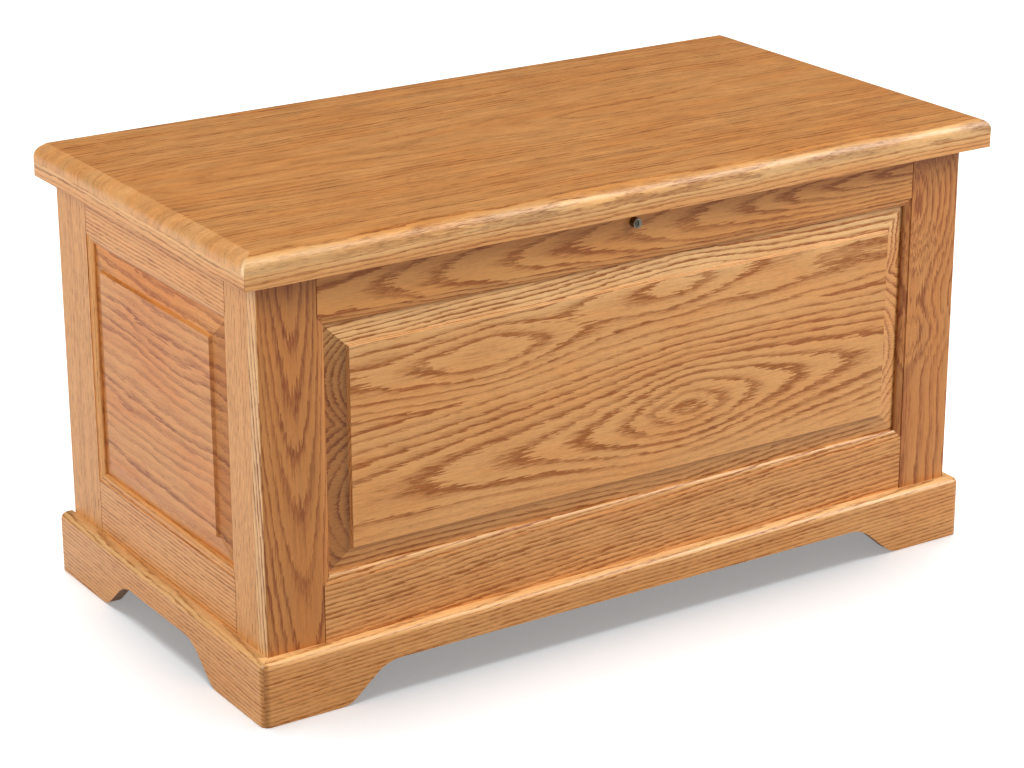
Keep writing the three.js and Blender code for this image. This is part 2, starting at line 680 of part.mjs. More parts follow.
const rivetPart = (radius, from, to) => bar(radius, pivotAt, [from, to], alongX, staySides);
const rivetOuter = armX[0] - jointGap;
const rivetInner = headX[1] + jointGap;
addPiece('stay_pivot_rivet', rivetPart(stayRivetRadius, rivetOuter, rivetInner)
  .add(rivetPart(stayRivetHeadRadius, rivetOuter - stayRivetHeadThickness, rivetOuter))
  .add(rivetPart(stayRivetHeadRadius, rivetInner, rivetInner + stayRivetHeadThickness)), nickel);

// Push lock: case behind the rail, plunger with its keyed plug, rising bolt, strike in the lid
const plungerFront = frontY - plungerProud;
const plungerBack = innerFrontY + plungerTail;
const plugRange = [plungerFront - plugProud, plungerFront - plugProud + plugLength];
const lockBar = (radius, from, to) => bar(radius, [0, lockZ], [from, to], alongY, lockSides);
addPiece('lock_plunger', lockBar(plungerRadius, plungerFront, plungerBack)
  .subtract(lockBar(plugRadius + plugPlay, plungerFront - overrun, plugRange[1] + plugPlay)), nickel);
const keyhole = block(
  [-keyholeWidth / 2, keyholeWidth / 2],
  [plugRange[0] - overrun, plugRange[0] + keyholeDepth],
  [lockZ - keyholeHeight / 2, lockZ + keyholeHeight / 2],
);
addPiece('lock_key_plug', lockBar(plugRadius, ...plugRange).subtract(keyhole), nickel);

const caseRows = [boltTop - lockCaseHeight, boltTop];
const caseBack = innerFrontY + lockCaseDepth;
const caseBoreEnd = plungerBack + plungerTravel + plungerPlay;
const caseBore = lockBar(plungerRadius + plungerPlay, innerFrontY - overrun, caseBoreEnd);
const boltSlot = boltHole(boltPlay, [boltTop - boltLength - boltPlay, boltTop + overrun]);
addPiece('lock_case', block([-lockCaseWidth / 2, lockCaseWidth / 2], [innerFrontY, caseBack], caseRows)
  .subtract(caseBore).subtract(boltSlot), nickel);
addPiece('lock_bolt', boltHole(0, [boltTop - boltLength, boltTop]), nickel);
addPiece('lock_strike', block(strikeRangeX, strikeRangeY, [lidUnder, lidUnder + strikeThickness])
  .subtract(boltHole(2 * boltPlay, [lidUnder - overrun, lidUnder + overrun])), nickel);

export default chest;
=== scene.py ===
# A raised-panel blanket chest in red oak, dressed over its CAD frame and set on a white studio floor.
import math
import bmesh
import bpy
from mathutils import Matrix, Quaternion, Vector


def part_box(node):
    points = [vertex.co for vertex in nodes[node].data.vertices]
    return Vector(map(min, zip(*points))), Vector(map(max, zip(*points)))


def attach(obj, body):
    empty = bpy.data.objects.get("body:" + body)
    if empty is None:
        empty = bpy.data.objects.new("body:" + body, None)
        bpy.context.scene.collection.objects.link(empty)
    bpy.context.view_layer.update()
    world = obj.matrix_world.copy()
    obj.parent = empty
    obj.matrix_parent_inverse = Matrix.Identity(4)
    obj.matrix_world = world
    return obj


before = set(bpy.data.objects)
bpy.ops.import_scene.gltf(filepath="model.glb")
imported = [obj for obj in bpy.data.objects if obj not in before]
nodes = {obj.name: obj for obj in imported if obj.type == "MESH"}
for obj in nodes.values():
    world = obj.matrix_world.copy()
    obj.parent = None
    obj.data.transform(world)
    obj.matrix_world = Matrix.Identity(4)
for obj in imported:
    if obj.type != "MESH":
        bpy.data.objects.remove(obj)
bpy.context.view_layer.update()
metre = 1000.0      # lengths on the chest are written in millimetres
print("frame loaded:", len(nodes), "pieces of the chest")


# Camera
# place is in metres, roll in degrees, lens and film in millimetres
view = {"place": (-1.7234, -2.6481, 1.3745), "look": (0.5101, 0.7878, -0.3451), "roll": -0.15,
        "lens": 102.03, "film": 36.0}

lens = bpy.data.cameras.new("camera")
lens.lens = view["lens"]
lens.sensor_width = view["film"]
camera = bpy.data.objects.new("camera", lens)
camera.location = view["place"]
aimed = Vector(view["look"]).to_track_quat("-Z", "Y")
camera.rotation_euler = (aimed @ Quaternion((0, 0, 1), math.radians(view["roll"]))).to_euler()
bpy.context.scene.collection.objects.link(camera)
bpy.context.scene.camera = camera
bpy.context.scene.view_settings.view_transform = "Standard"
print("camera placed")


# Writing a material
screenCurve = {"knee": 0.04045, "slope": 12.92, "lift": 0.055, "power": 2.4}


def tint(red, green, blue):
    # a colour as picked on screen, turned into the one that the shader works with
    def straighten(share):
        if share <= screenCurve["knee"]:
            return share / screenCurve["slope"]
        return ((share + screenCurve["lift"]) / (1 + screenCurve["lift"])) ** screenCurve["power"]
    return (straighten(red), straighten(green), straighten(blue), 1.0)


class Wire:
    # a shader socket that can be used in sums
    def __init__(self, finish, socket):
        self.finish = finish
        self.socket = socket

    def also(self, output):
        # another output of the same node
        return Wire(self.finish, self.socket.node.outputs[output])

    def maths(self, operation, *values):
        return self.finish.node("Math", {"operation": operation}, dict(enumerate(values)))

    def __add__(self, other):
        return self.maths("ADD", self, other)

    def __radd__(self, other):
        return self.maths("ADD", other, self)

    def __sub__(self, other):
        return self.maths("SUBTRACT", self, other)

    def __rsub__(self, other):
        return self.maths("SUBTRACT", other, self)

    def __mul__(self, other):
        return self.maths("MULTIPLY", self, other)

    def __rmul__(self, other):
        return self.maths("MULTIPLY", other, self)

    def __truediv__(self, other):
        return self.maths("DIVIDE", self, other)

    def __rtruediv__(self, other):
        return self.maths("DIVIDE", other, self)

    def __pow__(self, other):
        return self.maths("POWER", self, other)

    def __rpow__(self, other):
        return self.maths("POWER", other, self)

    def __abs__(self):
        return self.maths("ABSOLUTE", self)


noiseMean = 0.5                                     # noise goes up and down round this
seedShift = ((1.7, 0.0), (0.7, 3.1), (1.3, -5.7))   # pace and start of a seed's shift along each axis


class Finish:
    # the node tree of one material, or of the world, under construction
    def __init__(self, owner):
        self.owner = owner
        owner.use_nodes = True
        owner.node_tree.nodes.clear()

    def node(self, kind, settings=None, sockets=None, out=0):
        made = self.owner.node_tree.nodes.new("ShaderNode" + kind)
        for name, value in (settings or {}).items():
            if name == "stops":
                stops = made.color_ramp.elements
                while len(stops) < len(value):
                    stops.new(1.0)
                for stop, (place, shade) in zip(stops, value):
                    stop.position = place
                    stop.color = (shade, shade, shade, 1.0)
            else:
                setattr(made, name, value)
        for name, value in (sockets or {}).items():
            if isinstance(value, Wire):
                self.owner.node_tree.links.new(value.socket, made.inputs[name])
            else:
                made.inputs[name].default_value = value
        return None if out is None else Wire(self, made.outputs[out])

    def mix(self, share, first, second, blend="MIX"):
        settings = {"data_type": "RGBA", "blend_type": blend}
        return self.node("Mix", settings, {0: share, 6: first, 7: second}, out=2)

    def brighten(self, colour, share):
        return self.node("VectorMath", {"operation": "SCALE"}, {0: colour, "Scale": share})

    def span(self, value, low, high, newLow=0.0, newHigh=1.0):
        # goes smoothly from newLow to newHigh while value goes from low to high
        sockets = {0: value, 1: low, 2: high, 3: newLow, 4: newHigh}
        return self.node("MapRange", {"interpolation_type": "SMOOTHSTEP"}, sockets)

    def bell(self, value, middle, reach):
        # 1 at the middle, fading to almost nothing two reaches away
        away = (value - middle) / reach
        return math.e ** (away * away * -1.0)

    def peak(self, value, middle, reach, blunt=0.003):
        # 1 at the middle, falling away from it at once, to about a third at one reach
        away = (value - middle) / reach
        return math.e ** ((away * away + blunt) ** 0.5 * -1.0)

    def cloud(self, spot, size, seed, detail=2.0, rough=0.5, out=0):
        # noise with patches of this size along the three axes of spot
        shift = tuple(seed * pace + start for pace, start in seedShift)
        stretch = {0: spot, 1: tuple(1.0 / length for length in size), 2: shift}
        placed = self.node("VectorMath", {"operation": "MULTIPLY_ADD"}, stretch)
        sockets = {"Vector": placed, "Scale": 1.0, "Detail": detail, "Roughness": rough}
        return self.node("TexNoise", {}, sockets, out)

    def place(self):
        # where a point of the piece is at rest, in millimetres
        spot = self.node("TexCoord", out="Object")
        return self.node("VectorMath", {"operation": "SCALE"}, {0: spot, "Scale": metre})

    def axes(self, vector):
        x = self.node("SeparateXYZ", {}, {0: vector})
        return {"x": x, "y": x.also("Y"), "z": x.also("Z")}

    def endOn(self, axis):
        # 1 where the surface looks along this axis, 0 where it runs along it
        facing = self.node("TexCoord", out="Normal")
        sockets = {0: facing, 1: tuple(float(axis == letter) for letter in "xyz")}
        return abs(self.node("VectorMath", {"operation": "DOT_PRODUCT"}, sockets, out="Value"))

    def close(self, shader, output="OutputMaterial"):
        self.node(output, {}, {"Surface": shader}, out=None)
        return self.owner


# Oak
oak = {
    "summer": (0.89, 0.64, 0.385),      # the dense, pale part of a ring
    "spring": (0.64, 0.36, 0.07),       # the open-pored, dark part
    "pore": (0.44, 0.22, 0.03),
    "blush": (0.98, 0.91, 0.80),        # the redder patches
    "paintedHighlightColour": (0.94, 0.75, 0.51),        # painted highlight on rounded edges and lit narrow sides
    "endGrainAndLight": (0.80, 0.74, 0.63),     # what cut ends are multiplied by: darker end grain; the lid's is a painted highlight
    "gloss": 0.46,                      # roughness of the bare wood
    "coat": 0.12,
}

# A board shows the growth rings of its log, which lie round a heart. The heart runs "deep" in front of the
# board's face, and "across" is its place on the axis over the board's width. Counted from "at" along the
# grain, "slant" moves it sideways and "taper" further off, per millimetre. Swells and peaks change "deep"
# near one place along the grain and close the rings to ovals: each gives the place, a reach and the change.
plainBoard = {
    "grain": "x", "face": "-y",         # the way that the grain runs, and the side that shows
    "hearts": [{"across": 0.0, "at": 0.0, "deep": 60.0}],
    "ring": 7.0, "uneven": 0.6,         # distance between rings, and how much it changes, in rings
    "wander": 12.0, "ripple": 2.0,      # how far slow and quicker noise moves them
    "dive": 1.0,                        # how fast they change into the board, as on a bevel
    "fray": 60.0,                       # how far their edges run out along the grain
    "dark": 0.33, "contrast": 1.3,      # the share of a ring that is dark, and how dark it is
    "faint": 0.4, "dashes": 0.3,        # how much paler single rings and short gaps in a ring can be
    "pores": 0.6, "blush": 0.5, "blotch": 0.16,
    "paintedHighlightBands": [],                      # painted highlights along the grain: place, reach and share
    "calm": [],                         # lines along it with weaker rings, given in the same way
    "ends": (0.6, 0.6),                 # end shade of a cut end below and above 0 on the grain's axis
    "endAt": 0.55,                      # how far a surface turns to the grain to be an end in full
    "calmEnds": 0.0,                    # how much weaker the rings are on the ends
    "sides": 0.0,                       # painted light: how much the narrow sides take of the highlight colour
    "stain": (1.0, 1.0, 1.0),           # what the wood's own colours are multiplied by
    "seed": 1.0,
    "eased": 0.1, "limit": "sharp",     # how its edges are eased
}

# Layers of noise in a board: length of a patch along the grain, across it and into the board, a seed that
# is added to the board's own, detail and roughness.
grainNoise = {
    "fray": ((22, 1.6, 1.6), 9, 3.5, 0.68),
    "sway": ((230, 85, 85), 0, 2.0, 0.45),
    "ripple": ((46, 26, 26), 5, 2.0, 0.5),
    "edge": ((30, 2.5, 2.5), 11, 2.0, 0.5),
    "patches": ((70, 12, 12), 13, 2.0, 0.5),
    "gaps": ((12, 1.7, 1.7), 15, 2.0, 0.5),
    "pores": ((12, 1.1, 1.1), 17, 2.0, 0.5),
    "fibre": ((60, 2.2, 2.2), 21, 3.0, 0.7),
    "speckle": ((5, 1.3, 1.3), 23, 2.0, 0.5),
    "tone": ((150, 42, 42), 25, 3.0, 0.5),
    "blotch": ((60, 18, 18), 29, 2.0, 0.5),
}
figure = {
    "join": 0.7,                        # how softly the rings of two hearts meet
    "pace": 0.83,                       # how often the distance between rings changes, per ring
    "edge": 0.65,                       # how far noise moves the edge of a ring, in rings
    # how dark a ring is, from its start on in shares of "dark", and before the next ring
    "profile": ((0.0, 1.0), (0.55, 0.95), (1.0, 0.45), (1.5, 0.1), (2.1, 0.0)),
    "nextRing": ((0.95, 0.0), (1.0, 0.9)),
    "patches": (0.3, 0.65, 0.6, 1.0),   # noise from and to, and strength of the rings from and to
    "gaps": (0.42, 0.58),               # noise from and to, as for the next two
    "pores": (0.50, 0.64), "blush": (0.35, 0.68),
    "latePores": 0.2,                   # the share of the pores that the pale part of a ring has
    "endFrom": 0.04,                    # how far a surface turns to the grain before it counts as an end
    "centre": 1.0,                      # half the length over which one end's shade becomes the other's
    "narrow": (0.6, 0.9),               # how far a surface turns sideways to begin and to be a narrow side
    "tones": {"fibre": 0.42, "speckle": 0.22},
    "relief": {"pores": 0.7, "rings": 0.2, "fibre": 0.3},
    "rough": {"pores": 0.15, "rings": 0.05},
    "bump": 0.35, "bumpHeight": 0.0003, "specular": 0.4, "coatRough": 0.28,
}


def otherAxis(first, second):
    return "xyz".replace(first, "").replace(second, "")


def grainCloud(paint, wood, layer, spot, out=0):
    size, seed, detail, rough = grainNoise[layer]
    return paint.cloud(spot, size, wood["seed"] + seed, detail, rough, out)


def growthRings(paint, wood, spot, along, across, depth):
    # how many rings out from the nearest heart a point lies
    bent = paint.node("CombineXYZ", {}, {0: along, 1: across, 2: depth})
    sway = paint.axes(grainCloud(paint, wood, "sway", bent, "Color"))
    sideways = (sway["x"] - noiseMean) * wood["wander"]
    inward = (sway["y"] - noiseMean) * wood["wander"]
    ripple = (grainCloud(paint, wood, "ripple", bent) - noiseMean) * wood["ripple"]
    rings = None
    for heart in wood["hearts"]:
        off = across - heart["across"] + sideways + ripple
        if "slant" in heart:
            off = off - (along - heart["at"]) * heart["slant"]
        deep = inward + depth * wood["dive"] + heart["deep"]
        if "taper" in heart:
            deep = deep + (along - heart["at"]) * heart["taper"]
        for middle, reach, change in heart.get("swells", []):
            deep = deep + paint.bell(along, middle, reach) * change
        for middle, reach, change in heart.get("peaks", []):
            deep = deep + paint.peak(along, middle, reach) * change
        count = (off * off + deep * deep) ** 0.5 / heart.get("ring", wood["ring"])
        rings = count if rings is None else count.maths("SMOOTH_MIN", rings, count, figure["join"])
    widths = paint.node("TexNoise", {"noise_dimensions": "1D"}, {"W": rings, "Scale": figure["pace"]})
    edge = grainCloud(paint, wood, "edge", spot)
    return rings + (widths - noiseMean) * wood["uneven"] + (edge - noiseMean) * figure["edge"]


def springWood(paint, wood, spot, rings):
    # how dark the ring is at a point: most where it starts, less in faint rings, patches and gaps
    starts = [(place * wood["dark"], shade) for place, shade in figure["profile"]]
    within = rings.maths("FRACT", rings)
    early = paint.node("ValToRGB", {"stops": [*starts, *figure["nextRing"]]}, {0: within})
    number = rings.maths("FLOOR", rings) + wood["seed"]
    chance = paint.node("TexWhiteNoise", {"noise_dimensions": "1D"}, {"W": number})
    patchy = paint.span(grainCloud(paint, wood, "patches", spot), *figure["patches"])
    early = early * (chance * wood["faint"] + 1.0 - wood["faint"]) * patchy
    gaps = paint.span(grainCloud(paint, wood, "gaps", spot), *figure["gaps"])
    return early * (1.0 - gaps * wood["dashes"])


def oakFinish(name, node, settings, colours=oak):
    wood = {**plainBoard, **settings}
    grain = wood["grain"]
    side, looks = wood["face"]
    width = otherAxis(grain, looks)

    def stained(layer):
        return [part * share for part, share in zip(tint(*colours[layer]), wood["stain"])] + [1.0]

    paint = Finish(bpy.data.materials.new(name))
    parts = paint.axes(paint.place())
    across = parts[width]
    low, high = (corner["xyz".index(looks)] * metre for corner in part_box(node))
    depth = parts[looks] - low if side == "-" else high - parts[looks]
    spot = paint.node("CombineXYZ", {}, {0: parts[grain], 1: across, 2: depth})

    # Where a ring crosses the grain, its edge runs out in thin streaks. Along the grain it stays crisp.
    along = parts[grain] + (grainCloud(paint, wood, "fray", spot) - noiseMean) * wood["fray"]
    early = springWood(paint, wood, spot, growthRings(paint, wood, spot, along, across, depth))
    cut = paint.span(paint.endOn(grain), figure["endFrom"], wood["endAt"])
    if wood["calmEnds"]:
        early = early * (1.0 - cut * wood["calmEnds"])
    for middle, reach, share in wood["calm"]:
        early = early * (1.0 - paint.bell(across, middle, reach) * share)

    # the pale wood, with painted highlights in bands along rounded edges and on lit narrow sides
    pale, paintedHighlightColour = stained("summer"), tint(*colours["paintedHighlightColour"])
    if wood["sides"]:
        narrow = paint.span(paint.endOn(width), *figure["narrow"])
        pale = paint.mix(narrow * wood["sides"], pale, paintedHighlightColour)
    for middle, reach, share in wood["paintedHighlightBands"]:
        pale = paint.mix(paint.bell(across, middle, reach) * share, pale, paintedHighlightColour)

    # rings, pores and slow changes of tone over it
    late = figure["latePores"]
    pores = paint.span(grainCloud(paint, wood, "pores", spot), *figure["pores"])
    pores = pores * (early * (1.0 - late) + late)
    blush = paint.span(grainCloud(paint, wood, "tone", spot), *figure["blush"]) * wood["blush"]
    # cut ends take the end colour: end grain, and on the front panel and the lid also painted shade and
    # painted light
    ends = cut * paint.span(parts[grain], -figure["centre"], figure["centre"], *wood["ends"])
    colour = paint.mix(early * wood["contrast"], pale, stained("spring"))
    colour = paint.mix(pores * wood["pores"], colour, stained("pore"))
    colour = paint.mix(blush, colour, tint(*colours["blush"]), "MULTIPLY")
    colour = paint.mix(ends, colour, tint(*colours["endGrainAndLight"]), "MULTIPLY")
    blotch = (grainCloud(paint, wood, "blotch", spot) - noiseMean) * wood["blotch"]
    fibre = grainCloud(paint, wood, "fibre", spot) - noiseMean
    speckle = grainCloud(paint, wood, "speckle", spot) - noiseMean
    tones, relief, rough = figure["tones"], figure["relief"], figure["rough"]
    colour = paint.brighten(colour, blotch + fibre * tones["fibre"] + speckle * tones["speckle"] + 1.0)

    height = 1.0 - pores * relief["pores"] - early * relief["rings"] + fibre * relief["fibre"]
    bump = {"Strength": figure["bump"], "Distance": figure["bumpHeight"], "Height": height}
    shader = paint.node("BsdfPrincipled", {}, {
        "Base Color": colour,
        "Roughness": pores * rough["pores"] + early * rough["rings"] + colours["gloss"],
        "Normal": paint.node("Bump", {}, bump),
        "Specular IOR Level": figure["specular"],
        "Coat Weight": colours["coat"],
        "Coat Roughness": figure["coatRough"],
    })
    return paint.close(shader)


# Easing the edges of a piece
# weld is in metres, the angles in degrees: faces that bend by less than flat are joined, edges that bend
# by more than sharp are rounded, and what bends by less than sharp, panel or lid is shaded as round.
easing = {"weld": 0.00001, "segments": 2, "flat": 0.5, "sharp": 28.0, "panel": 8.0, "lid": 20.0}


def smoothBelow(degrees):
    # shades the edges that bend by less than this as round, and the others as sharp
    group = bpy.data.node_groups.new(f"smooth below {degrees:g} degrees", "GeometryNodeTree")
    group.interface.new_socket("Geometry", in_out="INPUT", socket_type="NodeSocketGeometry")
    group.interface.new_socket("Geometry", in_out="OUTPUT", socket_type="NodeSocketGeometry")
    start = group.nodes.new("NodeGroupInput")
    done = group.nodes.new("NodeGroupOutput")
    faces = group.nodes.new("GeometryNodeSetShadeSmooth")
    edges = group.nodes.new("GeometryNodeSetShadeSmooth")
    edges.domain = "EDGE"
    bend = group.nodes.new("GeometryNodeInputMeshEdgeAngle")
    soft = group.nodes.new("FunctionNodeCompare")
    soft.data_type = "FLOAT"
    soft.operation = "LESS_THAN"
    soft.inputs[1].default_value = math.radians(degrees)
    group.links.new(start.outputs[0], faces.inputs["Geometry"])
    group.links.new(faces.outputs[0], edges.inputs["Geometry"])
    group.links.new(bend.outputs["Unsigned Angle"], soft.inputs[0])
    group.links.new(soft.outputs[0], edges.inputs["Shade Smooth"])
    group.links.new(edges.outputs[0], done.inputs[0])
    return group


smoother = {limit: smoothBelow(easing[limit]) for limit in ("sharp", "panel", "lid")}


def shadeRound(piece, limit):
    shade = piece.modifiers.new("smooth by angle", "NODES")
    shade.node_group = smoother[limit]


def dress(node, finish, eased=0.0, limit="sharp"):
    # gives a CAD piece its finish, and rounds its edges by this many millimetres
    piece = nodes[node]
    piece.data.materials.clear()
    piece.data.materials.append(finish)
    weld = piece.modifiers.new("weld", "WELD")
    weld.merge_threshold = easing["weld"]
    flatten = piece.modifiers.new("flatten", "DECIMATE")
    flatten.decimate_type = "DISSOLVE"
    flatten.angle_limit = math.radians(easing["flat"])
    if eased:
        bevel = piece.modifiers.new("eased edges", "BEVEL")
        bevel.width = eased / metre
        bevel.segments = easing["segments"]
        bevel.limit_method = "ANGLE"
        bevel.angle_limit = math.radians(easing["sharp"])
        bevel.use_clamp_overlap = True
    shadeRound(piece, limit)
    weighted = piece.modifiers.new("weighted normals", "WEIGHTED_NORMAL")
    weighted.keep_sharp = True


def board(node, settings, name=None, colours=oak):
    wood = {**plainBoard, **settings}
    finish = oakFinish(name or node.replace("_", " ") + " oak", node, wood, colours)
    dress(node, finish, wood["eased"], wood["limit"])


# Front of the chest
frontPanel = {
    "ring": 5.5, "wander": 11.0, "ripple": 4.5, "dive": 3.2, "dark": 0.32, "contrast": 1.5,
    # the left bevel takes more end shade than the right: end grain, and painted shade as if lit from the
    # right; the band at 408 is a painted highlight on the top bevel
    "ends": (0.85, 0.25), "endAt": 0.12, "paintedHighlightBands": [(408, 20, 1.0)], "calm": [(180, 12, 0.75)],
    "seed": 2.0, "eased": 0.25, "limit": "panel",
    "hearts": [
        {"across": 358.0, "at": -193.0, "deep": 48.2, "slant": 0.04, "swells": [(-193, 115, -12)]},
        {"across": 386.0, "at": 60.0, "deep": 46.0, "slant": 0.07, "swells": [(60, 110, -9)]},
        {"across": 241.0, "at": 76.0, "deep": 60.0, "slant": 0.05, "ring": 8.6, "peaks": [(76, 170, -56)]},
    ],
}
board("front_panel", frontPanel)

frontLeftStile = {
    # sides paints light on the stile's narrow sides, brightening them as if lit from the left
    "grain": "z", "ring": 5.0, "wander": 8.0, "ripple": 3.0, "contrast": 1.4, "pores": 0.5, "sides": 0.8,
    "seed": 3.0, "stain": (0.74, 0.61, 0.42),
    "hearts": [{"across": -420.0, "at": 408.0, "deep": 26.0, "slant": -0.03, "taper": -0.07}],
}
board("front_left_stile", frontLeftStile)

frontRightStile = {
    "grain": "z", "ring": 8.5, "wander": 22.0, "ripple": 6.0, "contrast": 1.35, "blush": 0.8, "pores": 0.45,
    "seed": 4.0, "stain": (0.80, 0.69, 0.54),
    "hearts": [{"across": 396.0, "at": 420.0, "deep": 54.0, "slant": 0.03,
                "swells": [(421, 62, -44), (262, 26, -14)]}],
}
board("front_right_stile", frontRightStile)

frontTopRail = {
    "ring": 4.8, "wander": 15.0, "ripple": 4.0, "dive": 2.0, "dark": 0.34, "contrast": 1.5, "pores": 0.4,
    "seed": 5.0, "stain": (1.0, 0.95, 0.80),
    "hearts": [{"across": 456.0, "at": 0.0, "deep": 32.0, "taper": -0.065, "slant": 0.02}],
}
board("front_top_rail", frontTopRail)

frontBottomRail = {
    "ring": 5.4, "wander": 12.0, "ripple": 1.5, "dive": 2.0, "dark": 0.42, "dashes": 0.4, "contrast": 1.5,
    # the band at 149 is a painted highlight along the rail's top sticking
    "seed": 6.0, "paintedHighlightBands": [(149, 6, 1.0)],
    "hearts": [{"across": -70.0, "at": 0.0, "deep": 40.0, "slant": 0.06}],
}
board("front_bottom_rail", frontBottomRail)
print("front dressed")

# Sides
sidePanel = {
    "grain": "y", "ring": 14.0, "wander": 48.0, "ripple": 9.0, "dive": 4.0, "dark": 0.42, "faint": 0.8,
    "blush": 1.0, "contrast": 1.45, "pores": 0.5, "endAt": 0.12, "stain": (0.91, 0.80, 0.62),
    "hearts": [{"across": 20.0, "at": 0.0, "deep": 50.0, "slant": 0.03}],
    "eased": 0.25, "limit": "panel",
}
sideStile = {
    "grain": "z", "ring": 3.2, "wander": 8.0, "ripple": 1.0, "contrast": 0.8, "pores": 1.0, "blush": 0.15,
    "blotch": 0.1, "stain": (1.0, 0.98, 0.91), "hearts": [{"across": -700.0, "at": 0.0, "deep": 60.0}],
}
sideRail = {
    "grain": "y", "ring": 4.6, "wander": 9.0, "ripple": 1.2, "contrast": 1.3, "dashes": 0.4,
    "stain": (1.0, 0.98, 0.92), "hearts": [{"across": -160.0, "at": 0.0, "deep": 60.0, "slant": 0.02}],
}
sideBoards = {
    "panel": {**sidePanel, "seed": 7.0},
    "front_stile": {**sideStile, "seed": 8.0},
    "back_stile": {**sideStile, "seed": 10.0},
    "top_rail": {**sideRail, "seed": 11.0},
    "bottom_rail": {**sideRail, "seed": 12.0},
}
sideSeeds = {"left": 0.0, "right": 20.0}
sideFaces = {"left": "-x", "right": "+x"}
for side, face in sideFaces.items():
    for part, settings in sideBoards.items():
        seed = settings["seed"] + sideSeeds[side]
        board(f"{side}_side_{part}", {**settings, "face": face, "seed": seed})

# Back
backBoard = {"face": "+y", "contrast": 0.7}
backBoards = {
    "back_panel": {
        "ring": 6.0, "seed": 40.0, "hearts": [{"across": 270.0, "at": 80.0, "deep": 46.0, "taper": -0.05}]},
    "back_top_rail": {
        "ring": 3.0, "seed": 41.0, "hearts": [{"across": 340.0, "at": 0.0, "deep": 40.0, "slant": -0.02}]},
    "back_bottom_rail": {
        "ring": 3.4, "seed": 42.0, "hearts": [{"across": -40.0, "at": 0.0, "deep": 40.0, "slant": 0.02}]},
    "back_left_stile": {
        "grain": "z", "ring": 4.0, "seed": 43.0, "hearts": [{"across": -560.0, "at": 240.0, "deep": 50.0}]},
    "back_right_stile": {
        "grain": "z", "ring": 6.5, "seed": 44.0,
        "hearts": [{"across": 420.0, "at": 240.0, "deep": 48.0, "taper": 0.1}]},
}
for node, settings in backBoards.items():
    board(node, {**backBoard, **settings})
print("sides and back dressed")

# Plinth
plinthBoard = {
    # the band at 73 is a painted highlight along the plinth's rounded top edge
    "ring": 4.6, "wander": 9.0, "ripple": 1.0, "contrast": 1.15, "dashes": 0.4, "paintedHighlightBands": [(73, 6, 1.0)],
    "hearts": [{"across": -190.0, "at": 0.0, "deep": 60.0, "slant": 0.035}],
}
plinthBoards = {
    "front": {"seed": 51.0},
    "left": {"grain": "y", "face": "-x", "seed": 52.0},
    "right": {"grain": "y", "face": "+x", "seed": 53.0},
    "back": {"face": "+y", "seed": 54.0},
}
for side, settings in plinthBoards.items():
    board(f"plinth_{side}_board", {**plinthBoard, **settings})
print("plinth dressed")

# Lid
lidTop = {
    "face": "+z", "ring": 8.0, "wander": 30.0, "ripple": 4.0, "uneven": 1.3, "dive": 0.5, "dark": 0.28,
    "faint": 0.8, "contrast": 0.9, "pores": 0.8, "blotch": 0.6, "blush": 0.7,
    # painted light on the lid: its cut ends are lightened, the left end fully and the right by half, and a
    # painted highlight runs along the front nose
    "ends": (1.0, 0.5), "endAt": 0.2, "calmEnds": 0.6, "paintedHighlightBands": [(-249, 6, 0.9)],
    "seed": 60.0, "stain": (0.80, 0.74, 0.62),
    "hearts": [
        {"across": -330.0, "at": 0.0, "deep": 60.0, "slant": 0.015},
        {"across": 20.0, "at": 0.0, "deep": 48.0, "slant": 0.02, "taper": -0.05},
        {"across": 330.0, "at": 0.0, "deep": 60.0, "slant": -0.015},
    ],
}
# painted highlight on the lid's cut ends: their colour is multiplied by more than 1
paintedLightEnds = {**oak, "endGrainAndLight": (1.09, 1.15, 1.28)}
lidBoards = 5
lidOak = oakFinish("lid top oak", "lid_board_1", lidTop, paintedLightEnds)
for i in range(lidBoards):
    dress(f"lid_board_{i + 1}", lidOak, limit="lid")

lidStrip = {
    # the band at 497 is a painted highlight along the strip's top edge, under the lid's nose
    "ring": 4.6, "wander": 12.0, "ripple": 1.5, "contrast": 1.0, "paintedHighlightBands": [(497, 6, 0.7)],
    "hearts": [{"across": 420.0, "at": 0.0, "deep": 40.0, "slant": 0.02}],
}
lidStrips = {
    "front": {"seed": 71.0},
    "back": {"face": "+y", "seed": 72.0},
    "left": {"grain": "y", "face": "-x", "seed": 73.0},
    "right": {"grain": "y", "face": "+x", "seed": 74.0},
}
for side, settings in lidStrips.items():
    board(f"lid_strip_{side}", {**lidStrip, **settings})
print("lid dressed")

# Plain wood inside
plainWood = {
    "summer": (0.80, 0.66, 0.46), "spring": (0.70, 0.53, 0.33), "pore": (0.55, 0.40, 0.24),
    "blush": (0.90, 0.78, 0.62), "paintedHighlightColour": (0.86, 0.74, 0.55), "endGrainAndLight": (0.86, 0.80, 0.72),
    "gloss": 0.62, "coat": 0.0,
}
floorSheet = {
    "face": "+z", "ring": 9.0, "wander": 30.0, "contrast": 0.6, "pores": 0.3, "seed": 80.0, "eased": 0.3,
    "hearts": [{"across": 40.0, "at": 0.0, "deep": 30.0, "taper": 0.04}],
}
board("floor_panel", floorSheet, "chest floor veneer", plainWood)

cleat = {"face": "+z", "ring": 5.0, "pores": 0.3, "eased": 0.8,
         "hearts": [{"across": 300.0, "at": 0.0, "deep": 60.0}]}
cleats = {
    "front": {"seed": 81.0},
    "back": {"seed": 82.0},
    "left": {"grain": "y", "seed": 83.0},
    "right": {"grain": "y", "seed": 84.0},
}
for edge, settings in cleats.items():
    board(f"floor_cleat_{edge}", {**cleat, **settings}, f"{edge} cleat wood", plainWood)

